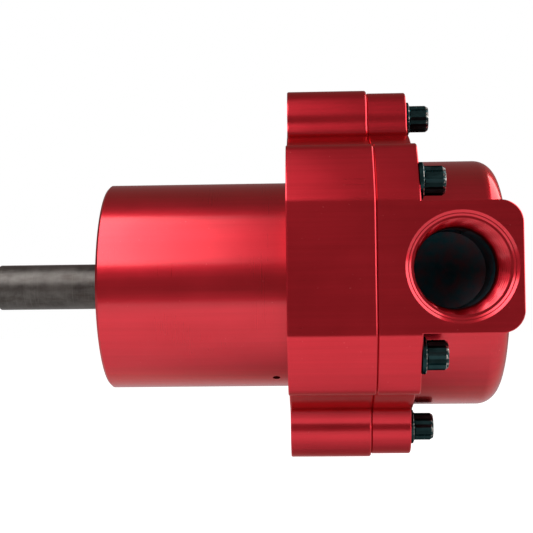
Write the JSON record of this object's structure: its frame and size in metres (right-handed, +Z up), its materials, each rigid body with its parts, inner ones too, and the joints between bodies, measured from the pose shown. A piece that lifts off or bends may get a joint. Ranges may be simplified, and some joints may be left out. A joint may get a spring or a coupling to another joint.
{
  "type": "shaft-driven rotary pump",
  "caption": "Shaft-driven rotary pump: round bearing snout, lobed red casing, bolted domed end cover with a threaded pipe port on each side.",
  "frame": {"origin": "on the shaft axis, at the rear (shaft-side) face of the casing flange, where a bracket on the snout would seat", "axes": "+X along the shaft axis towards the domed end cover, +Y from the viewed port to the far port, +Z up, towards the side on which the casing axis is offset"},
  "size_m": [0.1759, 0.1102, 0.1288],
  "materials": {
    "red_anodised": "anodised, satin",
    "black_oxide": "black oxide",
    "dark_steel": "ground, oiled",
    "bright_steel": "ground",
    "sintered_steel": "sintered",
    "bronze": "machined",
    "rubber": "matte"
  },
  "bodies": {
    "housing": {"pump_body": "red_anodised", "end_cover": "red_anodised", "cover_bolt_1": "black_oxide", "cover_bolt_2": "black_oxide", "cover_bolt_3": "black_oxide", "cover_bolt_4": "black_oxide", "cover_bolt_5": "black_oxide", "cover_bolt_6": "black_oxide", "dowel_pin_1": "bright_steel", "dowel_pin_2": "bright_steel", "cover_seal_ring": "rubber", "front_bearing_outer_race": "bright_steel", "rear_bearing_outer_race": "bright_steel", "outer_spacer": "dark_steel", "shaft_seal": "rubber", "tail_bush": "bronze", "snap_ring": "dark_steel"},
    "shaft_group": {"drive_shaft": "dark_steel", "rotor_key": "bright_steel", "inner_rotor": "sintered_steel", "front_bearing_inner_race": "bright_steel", "rear_bearing_inner_race": "bright_steel", "inner_spacer": "dark_steel"},
    "outer_rotor_group": {"outer_rotor": "sintered_steel"},
    "front_cage": {"front_bearing_cage": "bronze"},
    "rear_cage": {"rear_bearing_cage": "bronze"}
  },
  "joints": [
    {"name": "shaft_spin", "type": "hinge", "parent": "housing", "child": "shaft_group", "pos_m": [0, 0, 0], "axis": [1, 0, 0], "continuous": true},
    {"name": "outer_rotor_spin", "type": "hinge", "parent": "housing", "child": "outer_rotor_group", "pos_m": [0.01875, 0, 0.0038], "axis": [1, 0, 0], "continuous": true},
    {"name": "front_cage_spin", "type": "hinge", "parent": "housing", "child": "front_cage", "pos_m": [-0.052, 0, 0], "axis": [1, 0, 0], "continuous": true},
    {"name": "rear_cage_spin", "type": "hinge", "parent": "housing", "child": "rear_cage", "pos_m": [-0.0155, 0, 0], "axis": [1, 0, 0], "continuous": true}
  ],
  "couplings": [
    {"joint": "outer_rotor_spin", "follows": "shaft_spin", "ratio": 0.85714},
    {"joint": "front_cage_spin", "follows": "shaft_spin", "ratio": 0.3836},
    {"joint": "rear_cage_spin", "follows": "shaft_spin", "ratio": 0.3836}
  ]
}
